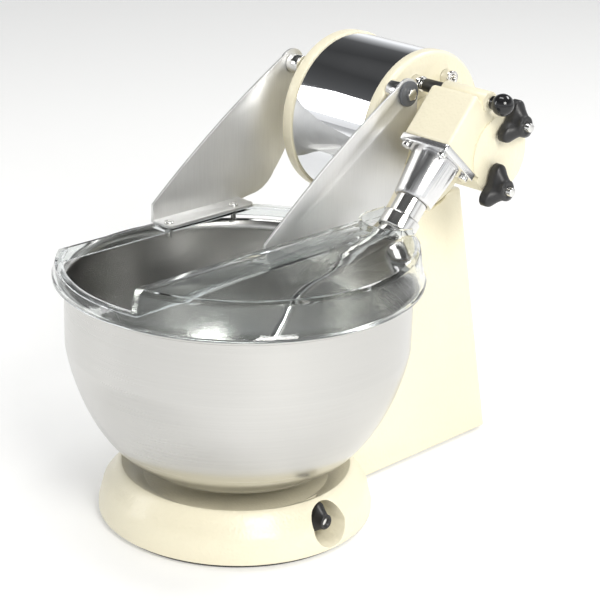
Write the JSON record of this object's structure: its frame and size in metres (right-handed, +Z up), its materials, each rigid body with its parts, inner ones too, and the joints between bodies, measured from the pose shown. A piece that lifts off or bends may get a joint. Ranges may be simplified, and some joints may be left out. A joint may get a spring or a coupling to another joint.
{
  "type": "table-top dough kneader",
  "caption": "Table-top dough kneader: free-turning steel bowl on a round base, tilting gear head with an inclined kneading arm, motor drum on a column, hinged clear lid.",
  "frame": {"origin": "on the bench under the bowl's axis, in the middle of the round base's pad", "axes": "+Z up, +Y from the bowl to the column, +X to the operator's right, where the gear head's knobs are"},
  "size_m": [0.3115, 0.47, 0.3782],
  "materials": {
    "cream_enamel": "fine hammered enamel, satin gloss",
    "brushed_stainless": "brushed, satin",
    "polished_chrome": "mirror polished",
    "polished_steel": "polished",
    "machined_aluminium": "fine turned",
    "inner_steel": "machined",
    "bronze": "machined",
    "clear_lid": "clear moulded polycarbonate",
    "black_grip": "fine moulded, matte",
    "dark_washer": "satin",
    "gloss_black": "polished",
    "rubber": "matte",
    "green_button": "satin",
    "red_button": "satin"
  },
  "bodies": {
    "frame": {"base_casting": "cream_enamel", "base_cover": "brushed_stainless", "anti_slip_pad": "rubber", "spindle_bearing": "inner_steel", "column_housing": "cream_enamel", "column_cover": "brushed_stainless", "column_feet": "rubber", "motor_mount": "inner_steel", "capacitor": "inner_steel", "cable_gland": "black_grip", "switch_plate": "brushed_stainless", "motor_end_ring": "cream_enamel", "drum_cover": "polished_chrome", "motor_flange": "cream_enamel", "index_bushes": "polished_steel", "flange_screws": "polished_steel", "rear_bearing_plate": "inner_steel", "motor_bearings": "inner_steel", "stator": "inner_steel", "stator_windings": "bronze", "pivot_spacers": "polished_steel", "pivot_washers": "dark_washer", "pivot_screws": "polished_steel"},
    "bowl": {"bowl_spindle": "inner_steel", "brake_drum": "inner_steel", "bowl_shell": "brushed_stainless", "bowl_screws": "polished_steel"},
    "brake_shoe": {"brake_shoe": "rubber"},
    "brake_knob": {"brake_screw": "polished_steel", "brake_knob": "black_grip"},
    "rotor": {"rotor_core": "inner_steel", "motor_shaft": "inner_steel", "cooling_fan": "black_grip", "worm": "inner_steel"},
    "gear_head": {"gear_head_housing": "cream_enamel", "gear_head_hub": "cream_enamel", "nose_plate": "machined_aluminium", "nose_plate_bolts": "polished_steel", "nose_cone": "machined_aluminium", "output_bushes": "bronze", "worm_bearing": "inner_steel", "wheel_bearing": "inner_steel", "clamp_studs": "polished_steel", "plunger_sleeve": "black_grip"},
    "clamp_knob_upper": {"clamp_knob_upper": "black_grip"},
    "clamp_knob_lower": {"clamp_knob_lower": "black_grip"},
    "plunger": {"plunger_pin": "polished_steel", "ball_knob": "gloss_black"},
    "kneading_arm": {"output_shaft": "polished_steel", "worm_wheel": "bronze", "arm_casting": "polished_steel", "kneading_rod": "polished_steel"},
    "lid": {"lid_shell": "clear_lid", "lid_screws": "polished_steel", "side_plate_left": "brushed_stainless", "side_plate_right": "brushed_stainless"},
    "start_button": {"start_button": "green_button"},
    "stop_button": {"stop_button": "red_button"}
  },
  "joints": [
    {"name": "lid_open", "type": "hinge", "parent": "frame", "child": "lid", "pos_m": [0, 0.181, 0.351], "axis": [-1, 0, 0], "range_deg": [0, 90]},
    {"name": "head_tilt", "type": "hinge", "parent": "frame", "child": "gear_head", "pos_m": [0, 0.231, 0.3015], "axis": [-1, 0, 0], "range_deg": [0, 45]},
    {"name": "rotor_spin", "type": "hinge", "parent": "frame", "child": "rotor", "pos_m": [0, 0.231, 0.3015], "axis": [1, 0, 0], "continuous": true},
    {"name": "arm_spin", "type": "hinge", "parent": "gear_head", "child": "kneading_arm", "pos_m": [0.0625, 0.13206, 0.25199], "axis": [0, -0.6691, -0.7431], "continuous": true},
    {"name": "bowl_spin", "type": "hinge", "parent": "frame", "child": "bowl", "pos_m": [0, 0, 0.1], "axis": [0, 0, 1], "continuous": true},
    {"name": "clamp_knob_upper_turn", "type": "hinge", "parent": "gear_head", "child": "clamp_knob_upper", "pos_m": [0.1, 0.24102, 0.32903], "axis": [-1, 0, 0], "range_deg": [-180, 180]},
    {"name": "clamp_knob_lower_turn", "type": "hinge", "parent": "gear_head", "child": "clamp_knob_lower", "pos_m": [0.1, 0.22098, 0.27397], "axis": [-1, 0, 0], "range_deg": [-180, 180]},
    {"name": "plunger_pull", "type": "slide", "parent": "gear_head", "child": "plunger", "axis": [1, 0, 0], "range_m": [0, 0.008], "stiffness_N_per_m": 400, "springref_m": -0.004},
    {"name": "brake_turn", "type": "hinge", "parent": "frame", "child": "brake_knob", "pos_m": [0.1, 0, 0.0247], "axis": [-1, 0, 0], "range_deg": [0, 360]},
    {"name": "brake_press", "type": "slide", "parent": "frame", "child": "brake_shoe", "axis": [-1, 0, 0], "range_m": [0, 0.0015]},
    {"name": "start_press", "type": "slide", "parent": "frame", "child": "start_button", "axis": [0.9973, 0, -0.0731], "range_m": [0, 0.003], "stiffness_N_per_m": 300, "springref_m": -0.001},
    {"name": "stop_press", "type": "slide", "parent": "frame", "child": "stop_button", "axis": [0.9973, 0, -0.0731], "range_m": [0, 0.003], "stiffness_N_per_m": 300, "springref_m": -0.001}
  ],
  "couplings": [
    {"joint": "head_tilt", "follows": "lid_open", "ratio": 0.5},
    {"joint": "arm_spin", "follows": "rotor_spin", "ratio": 0.041667},
    {"joint": "brake_press", "follows": "brake_turn", "m_per_rad": 0.00023873}
  ]
}
